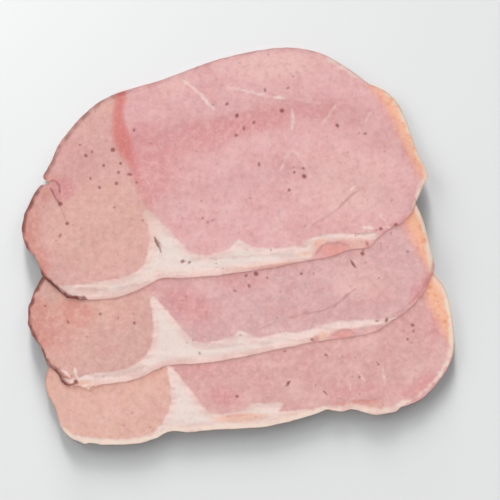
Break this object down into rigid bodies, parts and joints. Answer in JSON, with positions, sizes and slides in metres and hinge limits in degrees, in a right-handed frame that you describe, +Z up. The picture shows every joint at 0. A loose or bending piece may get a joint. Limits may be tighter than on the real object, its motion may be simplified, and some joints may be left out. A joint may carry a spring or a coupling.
{
  "type": "sliced corned beef",
  "caption": "Thin overlapping slices of pink cured cooked meat laid out like shingles, with a seam of fat along the lower edge of each slice.",
  "frame": {"origin": "on the table, at the centre of the footprint of the overlapping slices", "axes": "+X along the slices' length, eye muscle at -X; +Y away from the fat edge, towards the rounded upper edge of the top slice; +Z up"},
  "size_m": [0.1726, 0.1588, 0.0089],
  "materials": {
    "cured_meat": "moist satin cut face of pink cured meat, with cream fat"
  },
  "bodies": {
    "root": {"slice_bottom": "cured_meat", "slice_middle": "cured_meat", "slice_top": "cured_meat"}
  },
  "joints": []
}
